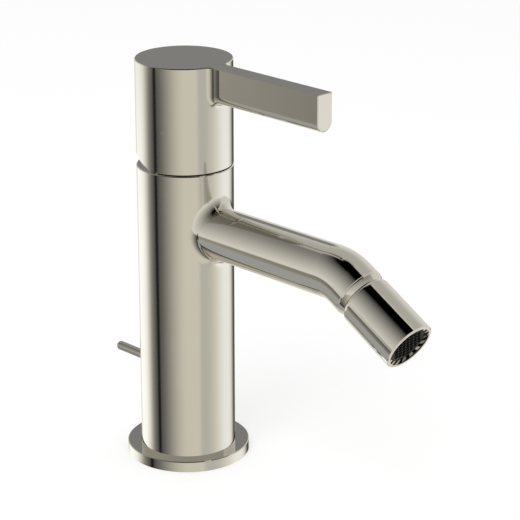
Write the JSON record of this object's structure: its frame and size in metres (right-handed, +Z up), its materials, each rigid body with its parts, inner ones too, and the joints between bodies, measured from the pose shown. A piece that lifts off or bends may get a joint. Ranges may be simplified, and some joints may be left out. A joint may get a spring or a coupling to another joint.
{
  "type": "bidet mixer",
  "caption": "Slim single-lever bidet mixer with a short bent spout, a swivelling outlet nozzle and a rear waste rod, in polished nickel.",
  "frame": {"origin": "centre of the stud hole's mouth, on the column's axis at the level of the basin's top", "axes": "+Z up the column; -Y towards the user, along the spout and the lever; +X to the user's right"},
  "size_m": [0.0518, 0.1747, 0.172],
  "materials": {
    "polished_nickel": "polished nickel plate",
    "turned_brass": "turned",
    "steel": "machined",
    "rubber": "matte",
    "white_plastic": "moulded",
    "black_plastic": "moulded, semi-matte",
    "nickel_plastic": "nickel-coloured",
    "white_ceramic": "lapped",
    "grey_ceramic": "lapped"
  },
  "bodies": {
    "column": {"body": "polished_nickel", "base_ring": "polished_nickel", "base_gasket": "rubber", "ring_seal": "rubber", "base_block": "turned_brass", "block_seal": "rubber", "hot_tube": "turned_brass", "cold_tube": "turned_brass", "tube_seals": "rubber", "cartridge_base": "white_plastic", "inlet_seals": "rubber", "disc_seals": "rubber", "fixed_disc": "white_ceramic", "cartridge_housing": "white_plastic", "housing_seal": "rubber", "cartridge_nut": "turned_brass", "trim_dome": "polished_nickel", "joint_cap": "polished_nickel", "ball_seal": "rubber", "rod_bush": "black_plastic", "slot_liner": "black_plastic"},
    "mixing_rotor": {"rotor": "white_plastic", "rotor_seal": "rubber", "pivot_pin": "steel"},
    "mixing_disc": {"moving_disc": "grey_ceramic", "disc_carrier": "white_plastic"},
    "lever_handle": {"handle": "polished_nickel", "stem": "steel", "handle_adapter": "white_plastic", "grub_screw": "steel", "screw_plug": "nickel_plastic"},
    "nozzle_swivel": {"ball_seat": "white_plastic"},
    "nozzle": {"nozzle_shell": "polished_nickel", "ball_nipple": "turned_brass", "aerator_seal": "rubber", "aerator_housing": "polished_nickel", "diffuser_plate": "white_plastic", "mesh_screen": "steel", "honeycomb_grille": "black_plastic"},
    "waste_rod": {"lift_rod": "turned_brass", "finger_rod": "polished_nickel", "rod_screw": "steel"}
  },
  "joints": [
    {"name": "handle_swivel", "type": "hinge", "parent": "column", "child": "mixing_rotor", "pos_m": [0, 0, 0.116], "axis": [0, 0, 1], "range_deg": [-50, 50]},
    {"name": "lever_tilt", "type": "hinge", "parent": "mixing_rotor", "child": "lever_handle", "pos_m": [0, 0, 0.116], "axis": [-1, 0, 0], "range_deg": [0, 20]},
    {"name": "disc_slide", "type": "slide", "parent": "mixing_rotor", "child": "mixing_disc", "axis": [0, -1, 0], "range_m": [0, 0.0048]},
    {"name": "nozzle_turn", "type": "hinge", "parent": "column", "child": "nozzle_swivel", "pos_m": [0, -0.09539, 0.09875], "axis": [0, -0.8704, -0.4924], "continuous": true},
    {"name": "nozzle_tilt", "type": "hinge", "parent": "nozzle_swivel", "child": "nozzle", "pos_m": [0, -0.09539, 0.09875], "axis": [1, 0, 0], "range_deg": [-15, 15]},
    {"name": "waste_rod_lift", "type": "slide", "parent": "column", "child": "waste_rod", "axis": [0, 0, 1], "range_m": [0, 0.014]}
  ],
  "couplings": [
    {"joint": "disc_slide", "follows": "lever_tilt", "m_per_rad": 0.01372}
  ]
}
